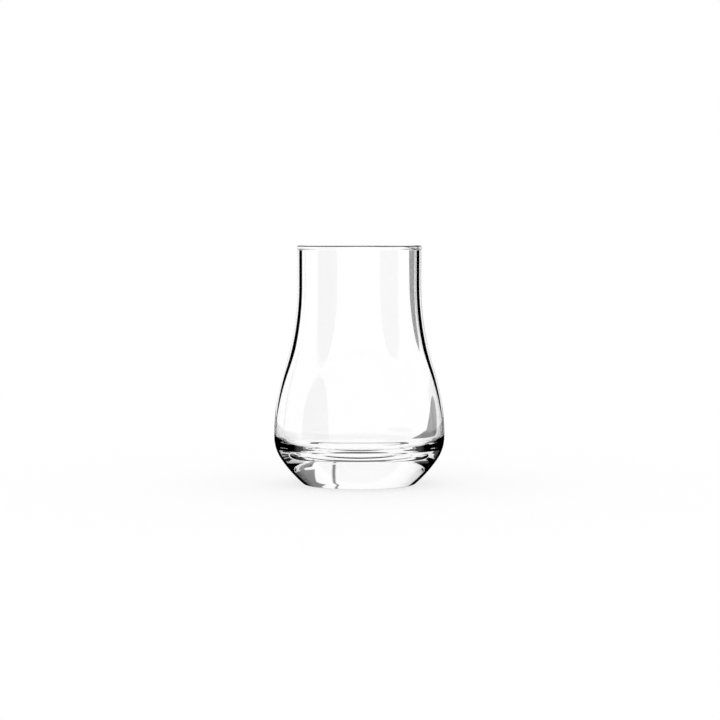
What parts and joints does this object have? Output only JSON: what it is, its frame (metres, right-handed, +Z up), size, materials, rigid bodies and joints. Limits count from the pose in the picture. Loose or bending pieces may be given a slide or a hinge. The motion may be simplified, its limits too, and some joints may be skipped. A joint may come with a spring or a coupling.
{
  "type": "rum tumbler",
  "caption": "Clear spirits tumbler with a straight neck, a long curve out to a round belly, a thin blown wall with a rounded rim, and a thick solid glass base on a small foot.",
  "frame": {"origin": "middle of the foot, on the table", "axes": "+Z up along the glass's axis, towards the mouth; the glass is round, so +X and +Y are any two sides"},
  "size_m": [0.075, 0.075, 0.105],
  "materials": {
    "clear_glass": "polished, colourless"
  },
  "bodies": {
    "root": {"base": "clear_glass", "bowl": "clear_glass", "rim": "clear_glass"}
  },
  "joints": []
}
